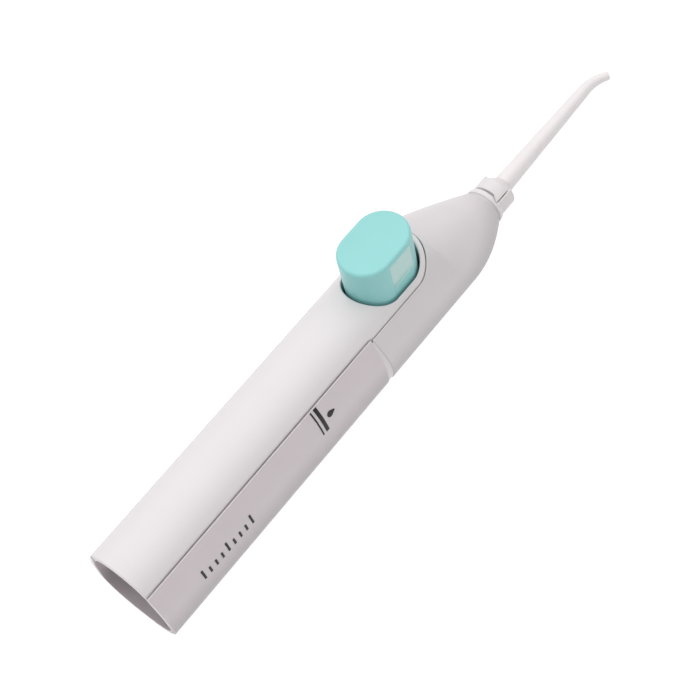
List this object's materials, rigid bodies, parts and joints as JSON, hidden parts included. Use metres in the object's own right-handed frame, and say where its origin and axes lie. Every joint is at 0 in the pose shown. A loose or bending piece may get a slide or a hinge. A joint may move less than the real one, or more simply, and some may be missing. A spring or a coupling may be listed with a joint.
{
  "type": "water flosser",
  "caption": "Slim hand-pumped water flosser with an aqua thumb button, a slide-off reservoir behind the front panel and a bent jet tip.",
  "frame": {"origin": "on the flat of the back, straight below the axis of the thumb button", "axes": "+Z out of the front through the thumb button, +Y along the body towards the jet tip, +X across the width"},
  "size_m": [0.035, 0.273, 0.0546],
  "materials": {
    "white_abs": "satin moulded",
    "tip_plastic": "smooth moulded",
    "smoke_tank": "translucent, fine satin",
    "aqua_abs": "satin moulded",
    "inner_acetal": "smooth moulded",
    "clear_tube": "translucent, smooth",
    "grey_rubber": "smooth moulded rubber",
    "stainless_steel": "drawn and polished"
  },
  "bodies": {
    "body": {"head_housing": "white_abs", "front_panel": "white_abs", "pump_frame": "inner_acetal", "frame_screws": "stainless_steel", "pump_cylinder": "inner_acetal", "cylinder_cap": "inner_acetal", "inlet_valve_body": "inner_acetal", "outlet_valve_body": "inner_acetal", "suction_tube": "clear_tube", "suction_strainer": "inner_acetal", "tank_gasket": "grey_rubber", "outlet_tube": "clear_tube", "nozzle_socket": "inner_acetal", "socket_o_ring": "grey_rubber"},
    "button": {"pump_button": "aqua_abs", "plunger": "inner_acetal", "piston": "inner_acetal", "piston_cup": "grey_rubber", "return_spring": "stainless_steel"},
    "tank": {"reservoir": "smoke_tank", "tank_floor": "smoke_tank"},
    "collar": {"tip_collar": "white_abs"},
    "tip": {"jet_tip": "tip_plastic"},
    "inlet_ball": {"inlet_ball": "stainless_steel"},
    "outlet_ball": {"outlet_ball": "stainless_steel"}
  },
  "joints": [
    {"name": "button_press", "type": "slide", "parent": "body", "child": "button", "axis": [0, 0, -1], "range_m": [0, 0.011], "stiffness_N_per_m": 400, "springref_m": -0.006, "deforming": ["return_spring"]},
    {"name": "reservoir_slide", "type": "slide", "parent": "body", "child": "tank", "axis": [0, -1, 0], "range_m": [0, 0.105]},
    {"name": "tip_pull", "type": "slide", "parent": "body", "child": "collar", "axis": [0, 1, 0], "range_m": [0, 0.014]},
    {"name": "tip_turn", "type": "hinge", "parent": "collar", "child": "tip", "pos_m": [0, 0.064, 0.0084], "axis": [0, 1, 0], "continuous": true},
    {"name": "inlet_ball_lift", "type": "slide", "parent": "body", "child": "inlet_ball", "axis": [0, 1, 0], "range_m": [0, 0.0012]},
    {"name": "outlet_ball_lift", "type": "slide", "parent": "body", "child": "outlet_ball", "axis": [0, 1, 0], "range_m": [0, 0.0012]}
  ]
}
